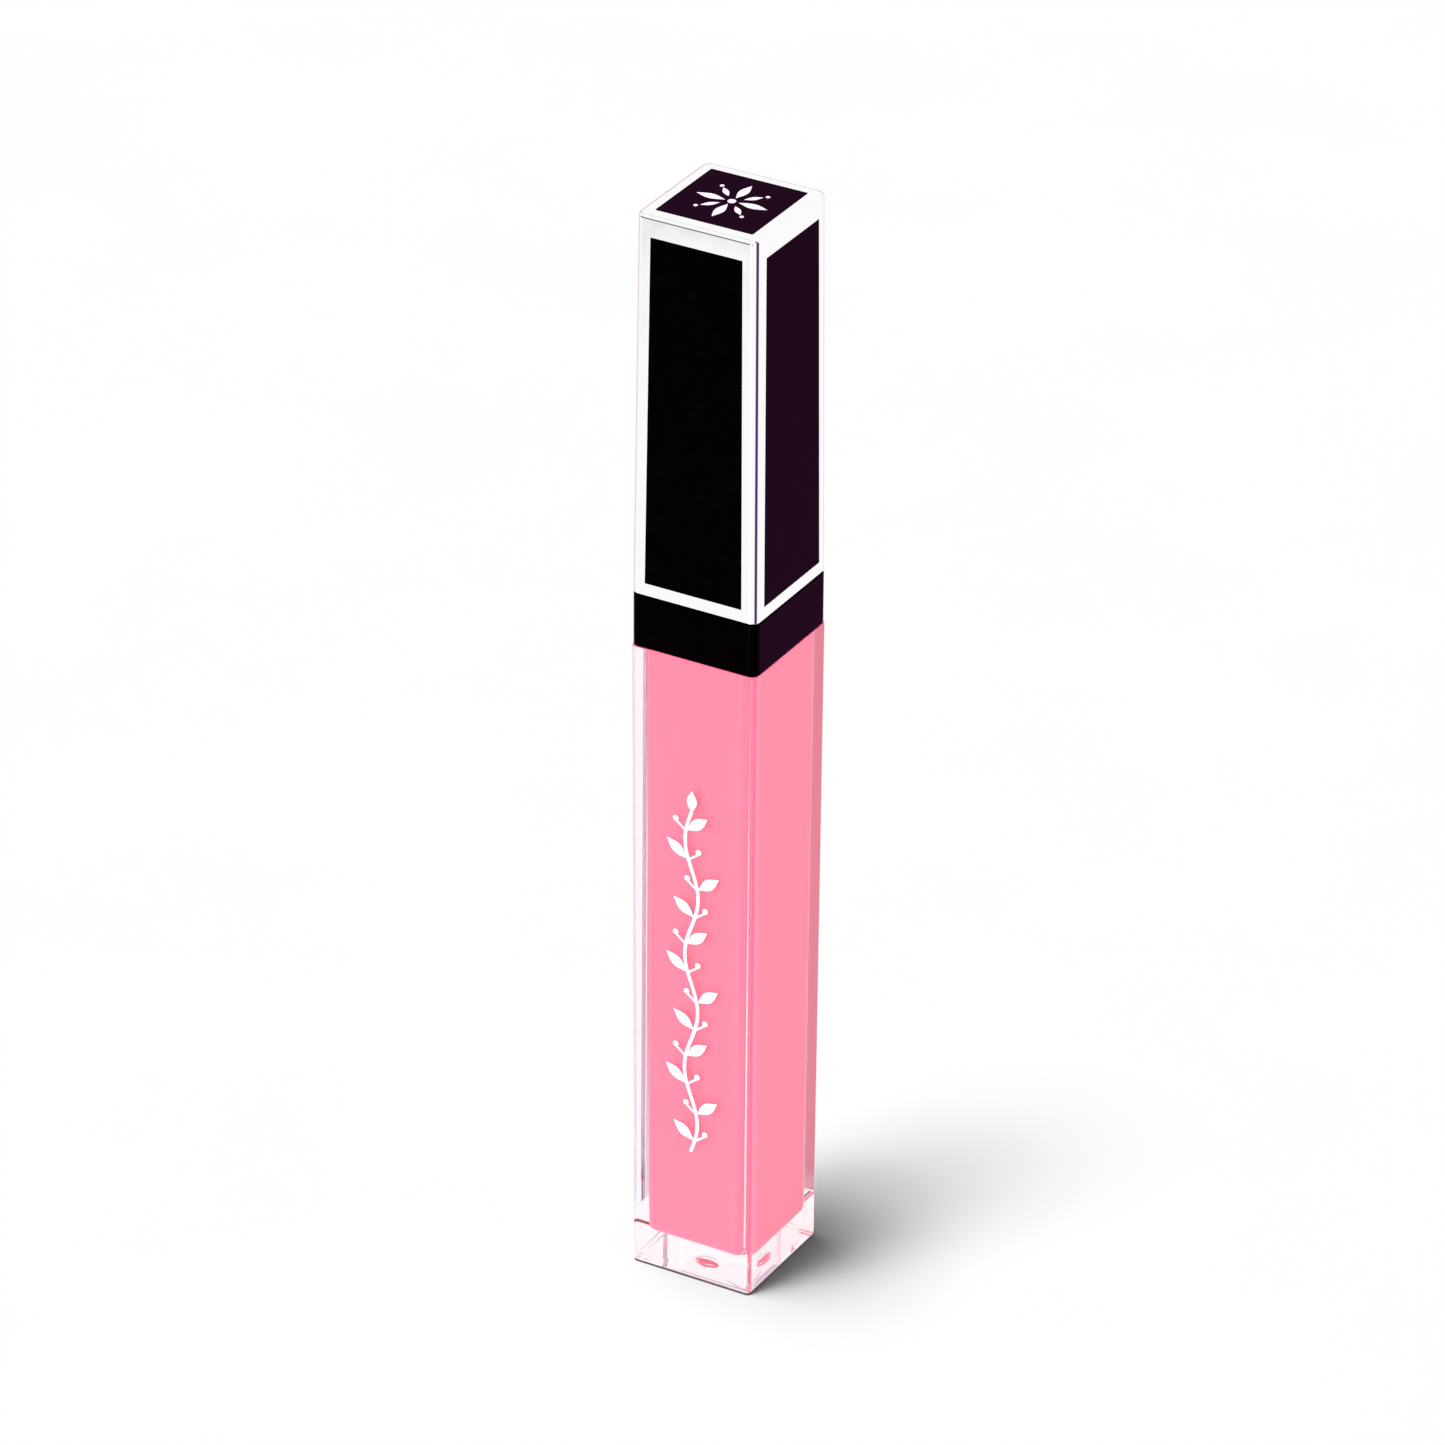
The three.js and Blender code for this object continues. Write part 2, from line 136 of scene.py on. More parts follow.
def edge(half, radius, z, rounding, start, end):
    """Rings across a rounded edge. z is the height of the flat face beside it. The edge turns from
    start to end degrees, where 0 faces outwards, 90 up and -90 down."""
    least_radius = 0.02
    rings = []
    for step in range(EDGE_STEPS + 1):
        angle = math.radians(blend_value(start, end, step / EDGE_STEPS))
        inset = rounding * (1 - math.cos(angle))
        rise = rounding * (math.sin(angle) - math.copysign(1, start + end))
        rings.append(ring(half - inset, max(radius - inset, least_radius), z + rise))
    return rings


def mesh_piece(name, points, faces):
    """A mesh object from points in millimetres, with outward normals and smooth round stretches.
    Each face is its corners' numbers and a material's number."""
    mesh = bpy.data.meshes.new(name)
    shape = bmesh.new()
    verts = [shape.verts.new(Vector(p) * MM) for p in points]
    for face, material_index in faces:
        shape.faces.new([verts[i] for i in face]).material_index = material_index
    bmesh.ops.remove_doubles(shape, verts=shape.verts, dist=1e-4 * MM)
    bmesh.ops.recalc_face_normals(shape, faces=shape.faces)
    shape.to_mesh(mesh)
    shape.free()
    piece = bpy.data.objects.new(name, mesh)
    bpy.context.scene.collection.objects.link(piece)
    smooth(piece)
    return piece


def smooth(piece):
    """Shades the piece smooth, except across edges that bend by more than the sharp angle."""
    sharp_angle = math.radians(35)
    piece.data.shade_smooth()
    piece.data.set_sharp_from_angle(angle=sharp_angle)
    weighted = piece.modifiers.new("flat faces stay flat", "WEIGHTED_NORMAL")
    weighted.keep_sharp = True


def skin(rings, closed_loop, material_of, open_flats_of=None):
    """Points and faces of a skin over rings. material_of gives a band's material number. The flat
    sides of the band open_flats_of are left out."""
    count = len(rings[0])
    points = [p for r in rings for p in r]
    faces = []
    pairs = len(rings) if closed_loop else len(rings) - 1
    for r in range(pairs):
        low = r * count
        high = ((r + 1) % len(rings)) * count
        for i in range(count):
            j = (i + 1) % count
            on_flat = j % (CORNER_STEPS + 1) == 0
            if not (on_flat and r == open_flats_of):
                faces.append(((low + i, low + j, high + j, high + i), material_of(r)))
    return points, faces


def loft(name, rings, closed_loop=False, material_of=lambda index: 0):
    """A skin over rings that all have the same number of points. Its ends are closed by flat
    faces, or with closed_loop the last ring joins the first, as in a pipe's wall."""
    points, faces = skin(rings, closed_loop, material_of)
    if not closed_loop:
        count = len(rings[0])
        last = (len(rings) - 1) * count
        faces.append((tuple(reversed(range(count))), material_of(0)))
        faces.append((tuple(range(last, last + count)), material_of(len(rings) - 2)))
    return mesh_piece(name, points, faces)


def join(piece, tool):
    """Unites tool with piece, keeps piece's name and removes the tool."""
    modifier = piece.modifiers.new("shape", "BOOLEAN")
    modifier.operation = "UNION"
    modifier.solver = "EXACT"
    modifier.object = tool
    for other in list(piece.modifiers):
        if other.type == "WEIGHTED_NORMAL":
            piece.modifiers.remove(other)
    graph = bpy.context.evaluated_depsgraph_get()
    made = bpy.data.meshes.new_from_object(piece.evaluated_get(graph))
    piece.modifiers.clear()
    piece.data = made
    bpy.data.objects.remove(tool)
    smooth(piece)


def helix_bead(centre_radius, bead_radius, start_z):
    """A round bead wound on a right-hand helix, thinning at both ends, as a closed mesh."""
    steps_per_turn = 48
    sides = 10
    end_steps = 6
    steps = round(THREAD_TURNS * steps_per_turn)
    points = []
    for step in range(steps + 1):
        angle = 2 * math.pi * step / steps_per_turn
        z = start_z + THREAD_PITCH * step / steps_per_turn
        taper = min(1, (min(step, steps - step) + 1) / end_steps)
        for side in range(sides):
            turn = 2 * math.pi * side / sides
            radius = centre_radius + bead_radius * taper * math.cos(turn)
            height = z + bead_radius * taper * math.sin(turn)
            points.append((radius * math.cos(angle), radius * math.sin(angle), height))
    faces = []
    for step in range(steps):
        for side in range(sides):
            following = (side + 1) % sides
            low = step * sides
            high = low + sides
            faces.append(((low + side, low + following, high + following, high + side), 0))
    faces.append((tuple(range(sides)), 0))
    faces.append((tuple(range(steps * sides, (steps + 1) * sides)), 0))
    return mesh_piece("bead", points, faces)


# ---- the bottle and its gloss ------------------------------------------------------------------
CAVITY_HALF_FOOT = 5.47
CAVITY_HALF_TOP = 5.8
CAVITY_RADIUS = 1.0
CAVITY_TOP = 73.4
CAVITY_ROUNDING = 0.6
PLUG_HALF = 6.3
PLUG_RADIUS = 0.6
PLUG_TOP = 75.6
NECK_RADIUS = 3.55
NECK_BORE = 2.85
THREAD_PITCH = 2.2
THREAD_TURNS = 1.5
THREAD_START = 78.4
WAND_BORE = 2.2
WAND_BORE_FLOOR = 5.5


def cavity_half(z):
    share = (z - CAVITY_FLOOR) / (CAVITY_TOP - CAVITY_FLOOR)
    return blend_value(CAVITY_HALF_FOOT, CAVITY_HALF_TOP, share)


def make_bottle():
    """The whole thick-walled bottle. Material 1 is the wall that the gloss wets."""
    dimple_radius = 1.4
    dimple_depth = 0.45
    dimple_steps = 6
    corner_radius = 0.55  # sharper than CORNER_RADIUS, which suits the photograph's refractions
    foot_rounding = 0.5
    shoulder_rounding = 0.1
    rim_rounding = 0.15
    floor_ring = 1.0
    bead_radius = 0.5
    bead_centre = NECK_RADIUS - 0.1
    rings = [on_axis(dimple_depth)]
    for step in range(1, dimple_steps + 1):
        angle = step / dimple_steps * math.pi / 2
        rings.append(circle(dimple_radius * math.sin(angle), dimple_depth * math.cos(angle)))
    rings += edge(bottle_half(0), corner_radius, 0, foot_rounding, -90, 0)
    rings += edge(HALF_SIDE, corner_radius, SHOULDER, shoulder_rounding, 0, 90)
    rings.append(ring(PLUG_HALF, PLUG_RADIUS, SHOULDER))
    rings += edge(PLUG_HALF, PLUG_RADIUS, PLUG_TOP, rim_rounding, 0, 90)
    rings.append(circle(NECK_RADIUS, PLUG_TOP))
    rings += edge(NECK_RADIUS, NECK_RADIUS, NECK_TOP, rim_rounding, 0, 90)
    rings.append(circle(NECK_BORE, NECK_TOP))
    rings.append(circle(NECK_BORE, CAVITY_TOP))
    rings += edge(cavity_half(CAVITY_TOP), CAVITY_RADIUS, CAVITY_TOP, CAVITY_ROUNDING, 90, 0)
    wet_from = len(rings)
    rings.append(ring(cavity_half(GLOSS_TOP), CAVITY_RADIUS, GLOSS_TOP))
    rings += edge(CAVITY_HALF_FOOT, CAVITY_RADIUS, CAVITY_FLOOR, CAVITY_ROUNDING, 0, -90)
    rings.append(circle(floor_ring, CAVITY_FLOOR))
    bottle = loft("bottle_clear", rings, material_of=lambda index: 1 if index >= wet_from else 0)
    join(bottle, helix_bead(bead_centre, bead_radius, THREAD_START))
    return bottle


def make_gloss():
    """The gloss, which all but touches the cavity's wall, with the well that the wand stands in."""
    skin_gap = 0.02
    top_rounding = 0.1
    low = CAVITY_FLOOR + skin_gap
    half_low = cavity_half(low) - skin_gap
    half_top = cavity_half(GLOSS_TOP) - skin_gap
    rings = [on_axis(low)]
    rings += edge(half_low, CAVITY_RADIUS, low, CAVITY_ROUNDING, -90, 0)
    rings += edge(half_top, CAVITY_RADIUS, GLOSS_TOP, top_rounding, 0, 90)
    rings.append(circle(WAND_BORE, GLOSS_TOP))
    rings.append(circle(WAND_BORE, WAND_BORE_FLOOR))
    rings.append(on_axis(WAND_BORE_FLOOR))
    return loft("gloss_fill", rings)


def make_collar():
    """The square ring round the bottle's plug, with a web that the neck passes through."""
    rounding = 0.12
    bore_half = 6.4
    bore_radius = 0.65
    web_thickness = 0.5
    web_low = COLLAR_TOP - web_thickness
    neck_hole = 4.15
    rings = edge(HALF_SIDE, CORNER_RADIUS, COLLAR_LOW, rounding, -90, 0)
    rings += edge(HALF_SIDE, CORNER_RADIUS, COLLAR_TOP, rounding, 0, 90)
    rings.append(circle(neck_hole, COLLAR_TOP))
    rings.append(circle(neck_hole, web_low))
    rings.append(ring(bore_half, bore_radius, web_low))
    rings.append(ring(bore_half, bore_radius, COLLAR_LOW))
    return loft("collar_ring", rings, closed_loop=True)


def make_wiper():
    """The sleeve pressed into the neck: a flange on the rim and a narrow orifice low down."""
    low, high = span("wiper")
    flange_low = NECK_TOP + FIT_GAP
    flange_radius = high.x
    flange_rounding = 0.15
    body_radius = 2.75
    bore_radius = 2.35
    mouth_width = 0.2  # of the bevel at the bore's upper end
    mouth_depth = 0.25
    lip_height = 0.9  # the bore starts to narrow this far above the foot
    orifice_radius = 2.08
    orifice_height = 0.45
    rings = [circle(orifice_radius, low.z), circle(body_radius, low.z)]
    rings += [circle(body_radius, flange_low), circle(flange_radius, flange_low)]
    rings += edge(flange_radius, flange_radius, high.z, flange_rounding, 0, 90)
    rings.append(circle(bore_radius + mouth_width, high.z))
    rings.append(circle(bore_radius, high.z - mouth_depth))
    rings.append(circle(bore_radius, low.z + lip_height))
    rings.append(circle(orifice_radius, low.z + orifice_height))
    return loft("wiper_insert", rings, closed_loop=True)


# ---- the cap and the wand ----------------------------------------------------------------------
def add_recessed_side(points, faces, quarter, outer):
    """Fills one side of the cap between its four outer corners: a flat border round the opening of
    the panel's recess, then the recess itself. quarter counts quarter turns from the front."""
    turn = Matrix.Rotation(quarter * math.pi / 2, 3, "Z")
    first = len(points)
    ends = ((PANEL_LOW - FIT_GAP, PANEL_HALF_FOOT), (PANEL_TOP + FIT_GAP, PANEL_HALF_TOP))
    for depth in (0, RECESS_DEPTH):
        for z, half in ends:
            width = half + FIT_GAP
            signs = (-1, 1) if z < PANEL_TOP else (1, -1)
            points += [turn @ Vector((sign * width, depth - cap_half(z), z)) for sign in signs]
    opening = [first + i for i in range(4)]
    bottom = [first + 4 + i for i in range(4)]
    for i in range(4):
        j = (i + 1) % 4
        faces.append(((outer[i], outer[j], opening[j], opening[i]), 0))
        faces.append(((opening[i], opening[j], bottom[j], bottom[i]), 0))
    faces.append((tuple(bottom), 0))


def make_cap_shell():
    """The plated cap: a tapering square column, hollow below, with five shallow panel recesses."""
    foot_rounding = 0.1
    cavity_top = 115.0
    cavity_half_top = 5.1
    cavity_half_foot = 5.45
    cavity_radius = 0.5
    lid = LID_HALF + FIT_GAP
    lid_radius = 0.17
    foot_half = cap_half(CAP_FOOT + foot_rounding)
    top_half = cap_half(HEIGHT - CAP_TOP_ROUNDING)
    rings = edge(foot_half, CORNER_RADIUS, CAP_FOOT, foot_rounding, -90, 0)
    side_band = len(rings) - 1
    rings += edge(top_half, CORNER_RADIUS, HEIGHT, CAP_TOP_ROUNDING, 0, 90)
    rings.append(ring(lid, lid_radius, HEIGHT))
    rings.append(ring(lid, lid_radius, HEIGHT - RECESS_DEPTH))
    rings.append(on_axis(HEIGHT - RECESS_DEPTH))
    rings.append(on_axis(cavity_top))
    rings.append(ring(cavity_half_top, cavity_radius, cavity_top))
    rings.append(ring(cavity_half_foot, cavity_radius, CAP_FOOT))
    points, faces = skin(rings, True, lambda index: 0, open_flats_of=side_band)
    count = len(rings[0])
    for quarter in range(4):
        before = ((quarter + 2) % 4) * (CORNER_STEPS + 1) + CORNER_STEPS
        after = (before + 1) % count
        low = side_band * count
        high = low + count
        outer = (low + before, low + after, high + after, high + before)
        add_recessed_side(points, faces, quarter, outer)
    return mesh_piece("cap_shell", points, faces)


def make_rib(angle, low_z, high_z):
    """An upright bar that reaches out from the inner cap's wall into a corner of the cap."""
    inner = 4.9
    outer = 6.3
    half = 0.4
    turn = Matrix.Rotation(angle, 3, "Z")
    corners = []
    for z in (low_z, high_z):
        for y in (-half, half):
            for x in (inner, outer):
                corners.append(turn @ Vector((x, y, z)))
    quads = [(0, 1, 3, 2), (4, 5, 7, 6), (0, 1, 5, 4), (2, 3, 7, 6), (0, 2, 6, 4), (1, 3, 7, 5)]
    return mesh_piece("rib", corners, [(quad, 0) for quad in quads])


def make_inner_cap():
    """The threaded inner cap, with a socket for the rod's head and four ribs that key it in."""
    low, high = span("cap_liner")
    outer_radius = 5.15
    bore_radius = 4.45
    ceiling = 85.4
    plate_thickness = 1.3
    plate_top = ceiling + plate_thickness
    foot_rounding = 0.15
    plate_rounding = 0.2
    socket_radius = 3.4
    socket_bore = 2.5
    rod_hole = 1.5
    bead_centre = 4.5
    bead_radius = 0.45
    rib_inset = 1
    rings = edge(outer_radius, outer_radius, low.z, foot_rounding, -90, 0)
    rings += edge(outer_radius, outer_radius, plate_top, plate_rounding, 0, 90)
    rings += [circle(socket_radius, plate_top), circle(socket_radius, high.z)]
    rings += [circle(socket_bore, high.z), circle(socket_bore, plate_top)]
    rings += [circle(rod_hole, plate_top), circle(rod_hole, ceiling)]
    rings += [circle(bore_radius, ceiling), circle(bore_radius, low.z)]
    inner_cap = loft("inner_cap", rings, closed_loop=True)
    join(inner_cap, helix_bead(bead_centre, bead_radius, THREAD_START - THREAD_PITCH / 2))
    for corner in range(4):
        angle = (corner + 0.5) * math.pi / 2
        join(inner_cap, make_rib(angle, low.z + rib_inset, plate_top - rib_inset))
    return inner_cap


def make_rod():
    """The wand's stem, with the wider head that sits in the inner cap's socket."""
    low, high = span("wand_rod")
    stem_radius = 1.4
    foot_rounding = 0.15
    head_low = 86.75
    head_rounding = 0.2
    rings = [on_axis(low.z)]
    rings += edge(stem_radius, stem_radius, low.z, foot_rounding, -90, 0)
    rings += [circle(stem_radius, head_low), circle(high.x, head_low)]
    rings += edge(high.x, high.x, high.z, head_rounding, 0, 90)
    rings.append(on_axis(high.z))
    return loft("rod_stem", rings)


def make_flock_tip():
    """The flocked tip: a round nose, widest low down, narrowing to the stem, with one slanted face."""
    low, high = span("applicator_flock")
    flatness = 0.82
    nose_share = 0.3  # part of the length that the round nose takes
    neck_share = 0.7  # width at the stem over the greatest width
    slant_from = 12.6  # height on the front at which the slanted face starts
    slant_behind = 0.35  # how far behind the axis it meets the tip
    crown_inset = 0.25
    crown_rise = 0.02
    steps = 40
    front = -high.x * flatness
    rings = [on_axis(low.z)]
    for step in range(1, steps + 1):
        up = step / steps
        z = blend_value(low.z, high.z, up)
        if up < nose_share:
            radius = high.x * math.sqrt(1 - (1 - up / nose_share) ** 2)
        else:
            rest = (up - nose_share) / (1 - nose_share)
            radius = high.x * blend_value(1, neck_share, rest * rest * (3 - 2 * rest))
        limit = blend_value(slant_behind, front, min(1, (z - low.z) / (slant_from - low.z)))
        rings.append([(x, max(y * flatness, limit), z) for x, y, _ in circle(radius, z)])
    rings.append(circle(high.x * neck_share - crown_inset, high.z + crown_rise))
    return loft("flock_tip", rings)


# ---- printed ornaments -------------------------------------------------------------------------
INK_THICKNESS = 0.03


def leaf(stalk_x, stalk_y, length, width, angle):
    """A pointed leaf outline from its stalk, as points in the print's plane."""
    steps = 10
    fullness = 1.2  # above 1 draws both ends out to a point
    outline = []
    for step in range(2 * steps):
        side = 1 if step <= steps else -1
        along = step / steps if side == 1 else 2 - step / steps
        outline.append((along * length, side * 0.5 * width * math.sin(math.pi * along) ** fullness))
    cos, sin = math.cos(angle), math.sin(angle)
    return [(stalk_x + x * cos - y * sin, stalk_y + x * sin + y * cos) for x, y in outline]


def dot(centre_x, centre_y, radius):
    steps = 16
    turns = [2 * math.pi * i / steps for i in range(steps)]
    return [(centre_x + radius * math.cos(t), centre_y + radius * math.sin(t)) for t in turns]


def ribbon(points, width):
    """A closed outline round a line of points."""
    left, right = [], []
    for index, (x, y) in enumerate(points):
        before = points[max(index - 1, 0)]
        after = points[min(index + 1, len(points) - 1)]
        run_x, run_y = after[0] - before[0], after[1] - before[1]
        scale = width / 2 / math.hypot(run_x, run_y)
        left.append((x - run_y * scale, y + run_x * scale))
        right.append((x + run_y * scale, y - run_x * scale))
    return left + right[::-1]


def flat_print(name, outlines, place):
    """Thin ink shapes. place turns a point of the print's plane and a height above it into space."""
    points = []
    faces = []
    for outline in outlines:
        start = len(points)
        count = len(outline)
        points += [place(x, y, 0) for x, y in outline]
        points += [place(x, y, INK_THICKNESS) for x, y in outline]
        faces.append((tuple(range(start, start + count)), 0))
        faces.append((tuple(range(start + count, start + 2 * count)), 0))
        for i in range(count):
            j = (i + 1) % count
            faces.append(((start + i, start + j, start + count + j, start + count + i), 0))
    return mesh_piece(name, points, faces)


def leaf_and_berry(x, z, side):
    """The outlines of a leaf on one side of the stem and a stalked berry on the other."""
    leaf_out = 0.14
    leaf_lean = math.radians(52)
    berry_out = 1.15
    berry_up = 1.0
    stalk_out = 0.1
    stalk_up = 0.8
    stalk_width = 0.2
    leaf_angle = math.pi / 2 - side * leaf_lean
    berry_x = x - side * berry_out
    stalk = [(x - side * stalk_out, z), (berry_x, z + stalk_up)]
    return [
        leaf(x + side * leaf_out, z, length=2.9, width=1.15, angle=leaf_angle),
        dot(berry_x, z + berry_up, radius=0.3),
        ribbon(stalk, stalk_width),
    ]


def make_front_print():
    """A climbing sprig printed on the front face: a waving stem with leaves and berries."""
    low_z = 15.0
    high_z = 54.0
    sway = 0.75
    waves = 3
    steps = 72
    stem_width = 0.34
    leaves = 12
    first_leaf = low_z + 1.4
    last_leaf = high_z - 2.2
    end_leaf_overlap = 0.1
    lift = 0.012

    def stem_x(z):
        return sway * math.sin(2 * math.pi * waves * (z - low_z) / (high_z - low_z))

    def place(x, z, height):
        return (x, -(bottle_half(z) + lift + height), z)

    heights = [blend_value(low_z, high_z, i / steps) for i in range(steps + 1)]
    outlines = [ribbon([(stem_x(z), z) for z in heights], stem_width)]
    for index in range(leaves):
        z = blend_value(first_leaf, last_leaf, index / (leaves - 1))
        side = 1 if index % 2 else -1
        outlines += leaf_and_berry(stem_x(z), z, side)
    end_z = high_z - end_leaf_overlap
    outlines.append(leaf(stem_x(high_z), end_z, length=2.4, width=1.1, angle=math.pi / 2))
    return flat_print("front_print", outlines, place)


def make_top_print():
    """An eight-armed star of lozenges printed on the lid panel, with a dot beyond each short arm."""
    arms = 8
    dot_distance = 3.55
    lift = 0.01
    outlines = [dot(0, 0, radius=0.42)]
    for arm in range(arms):
        angle = arm * 2 * math.pi / arms
        is_long = arm % 2 == 0
        start = 0.75 if is_long else 1.2
        length = 3.1 if is_long else 1.9
        width = 0.95 if is_long else 0.6
        x, y = math.cos(angle), math.sin(angle)
        outlines.append(leaf(start * x, start * y, length, width, angle))
        if not is_long:
            outlines.append(dot(dot_distance * x, dot_distance * y, radius=0.22))
    return flat_print("top_print", outlines, lambda x, y, height: (x, y, HEIGHT + lift + height))


# ---- materials ---------------------------------------------------------------------------------
class Surface:
    """A Principled material and the few procedural nodes that the finishes share. A color or a
    roughness that isn't given here is given by color_from or roughness_from."""

    def __init__(self, name, color=None, roughness=None, metallic=0.0, ior=1.5, specular=0.5):
        self.material = bpy.data.materials.new(name)
        self.material.use_nodes = True
        self.nodes = self.material.node_tree.nodes
        self.links = self.material.node_tree.links
        self.shader = self.nodes["Principled BSDF"]
        if color is not None:
            self.set("Base Color", (*color, 1.0))
        if roughness is not None:
            self.set("Roughness", roughness)
        self.set("Metallic", metallic)
        self.set("IOR", ior)
        self.set("Specular IOR Level", specular)
        self.place = self.nodes.new("ShaderNodeTexCoord").outputs["Object"]

    def set(self, socket, value):
        self.shader.inputs[socket].default_value = value

    def noise(self, scale, detail, stretch=(1, 1, 1)):
        """Noise over the object's own space. scale counts features per metre."""
        mapping = self.nodes.new("ShaderNodeMapping")
        mapping.inputs["Scale"].default_value = stretch
        self.links.new(self.place, mapping.inputs["Vector"])
        texture = self.nodes.new("ShaderNodeTexNoise")
        texture.inputs["Scale"].default_value = scale
        texture.inputs["Detail"].default_value = detail
        self.links.new(mapping.outputs["Vector"], texture.inputs["Vector"])
        return texture.outputs["Fac"]

    def ranged(self, value, low, high):
        """Spreads the middle of a noise value's range from low to high."""
        node = self.nodes.new("ShaderNodeMapRange")
        node.inputs["From Min"].default_value = 0.3
        node.inputs["From Max"].default_value = 0.7
        node.inputs["To Min"].default_value = low
        node.inputs["To Max"].default_value = high
        self.links.new(value, node.inputs["Value"])
        return node.outputs["Result"]

    def roughness_from(self, value, low, high):
        self.links.new(self.ranged(value, low, high), self.shader.inputs["Roughness"])

    def color_from(self, value, first, second):
        node = self.nodes.new("ShaderNodeMixRGB")
        node.inputs["Color1"].default_value = (*first, 1.0)
        node.inputs["Color2"].default_value = (*second, 1.0)
        self.links.new(self.ranged(value, 0, 1), node.inputs["Fac"])
        self.links.new(node.outputs["Color"], self.shader.inputs["Base Color"])

    def bump_from(self, value, height):
        """Relief from a value between 0 and 1. height is in metres."""
        node = self.nodes.new("ShaderNodeBump")
        node.inputs["Strength"].default_value = 1.0
        node.inputs["Distance"].default_value = height
        self.links.new(value, node.inputs["Height"])
        self.links.new(node.outputs["Normal"], self.shader.inputs["Normal"])


def clear_plastic(name, ior):
    surface = Surface(name, color=(1.0, 0.94, 0.975), roughness=0.0, ior=ior)
    surface.set("Transmission Weight", 1.0)
    surface.bump_from(surface.noise(260, 2), 0.0000012)
    return surface.material


def pink_gloss():
    surface = Surface("pink_gloss", roughness=0.25, specular=0.7)
    drift = surface.noise(90, 4, stretch=(1, 1, 0.4))
    surface.color_from(drift, (0.89, 0.128, 0.2), (0.88, 0.138, 0.212))
    return surface.material


def chrome_plate():
    surface = Surface("chrome_plate", color=(0.97, 0.955, 0.97), metallic=1.0)
    surface.roughness_from(surface.noise(420, 4), 0.03, 0.09)
    surface.bump_from(surface.noise(140, 2), 0.0000015)
    return surface.material


def black_lacquer():
    """Black when faced, with a purple sheen at a slant: the sheen is the reflection's edge tint."""
    surface = Surface("black_lacquer", metallic=1.0)
    surface.set("Specular Tint", (0.62, 0.525, 0.6, 1.0))
    surface.color_from(surface.noise(900, 5), (0.0008, 0.0004, 0.0007), (0.002, 0.0008, 0.0016))
    surface.roughness_from(surface.noise(500, 4), 0.06, 0.18)
    surface.bump_from(surface.noise(700, 3), 0.000001)
    return surface.material


def moulded_plastic(name, color, roughness):
    surface = Surface(name)
    lighter = [min(1.0, c * 1.03) for c in color]
    darker = [c * 0.95 for c in color]
    spread = 0.06
    surface.color_from(surface.noise(250, 4), darker, lighter)
    surface.roughness_from(surface.noise(800, 4), roughness - spread, roughness + spread)
    surface.bump_from(surface.noise(2500, 3), 0.000004)
    return surface.material


def milky_plastic():
    surface = Surface("milky_plastic", color=(0.86, 0.85, 0.83))
    surface.set("Subsurface Weight", 0.4)
    surface.set("Subsurface Radius", (1.0, 0.9, 0.8))
    surface.set("Subsurface Scale", 0.0006)
    surface.roughness_from(surface.noise(600, 4), 0.28, 0.42)
    surface.bump_from(surface.noise(1500, 3), 0.000003)
    return surface.material


def turned_steel():
    surface = Surface("turned_steel", color=(0.56, 0.55, 0.54), metallic=1.0)
    tool_marks = (1, 1, 12)
    surface.roughness_from(surface.noise(900, 5, stretch=tool_marks), 0.3, 0.5)
    surface.bump_from(surface.noise(1200, 3, stretch=tool_marks), 0.000004)
    return surface.material


def foam_surface():
    surface = Surface("foam_surface", roughness=0.9, specular=0.3)
    surface.color_from(surface.noise(5000, 4), (0.75, 0.72, 0.66), (0.92, 0.9, 0.86))
    surface.bump_from(surface.noise(6000, 4), 0.00004)
    return surface.material


def wet_flock():
    surface = Surface("wet_flock", specular=0.35)
    surface.color_from(surface.noise(7000, 4), (0.78, 0.17, 0.28), (0.97, 0.42, 0.56))
    surface.bump_from(surface.noise(9000, 5), 0.00009)
    surface.set("Sheen Weight", 0.35)
    surface.set("Sheen Roughness", 0.4)
    surface.roughness_from(surface.noise(300, 3), 0.35, 0.75)
    return surface.material


def print_ink(name, color):
    surface = Surface(name)
    surface.color_from(surface.noise(3000, 4), [c * 0.93 for c in color], color)
    surface.roughness_from(surface.noise(1500, 3), 0.3, 0.5)
    return surface.material


def dress(piece, *materials):
    """Fills the material slots in order. Clearing them would lose which face has which slot."""
    slots = piece.data.materials
    for index, material in enumerate(materials):
        if index < len(slots):
            slots[index] = material
        else:
            slots.append(material)


# ---- the object --------------------------------------------------------------------------------
def add_piece(piece, body, node, slot, *materials):
    """Gives a piece its materials and its CAD body, and hides the node it replaces. slot is not used.
    """
    dress(piece, *materials)
    if node:
        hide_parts(node)
    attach(piece, body)
    return piece


clear = clear_plastic("clear_plastic", 1.57)
wetted = clear_plastic("wetted_wall", 1.068)  # the same plastic against gloss of index 1.47
lacquer = black_lacquer()
white_plastic = moulded_plastic("white_plastic", (0.52, 0.52, 0.51), 0.42)
rod_plastic = moulded_plastic("rod_plastic", (0.52, 0.515, 0.505), 0.34)
white_ink = print_ink("white_ink", (0.93, 0.83, 0.9))
pale_ink = print_ink("pale_ink", (0.86, 0.66, 0.74))

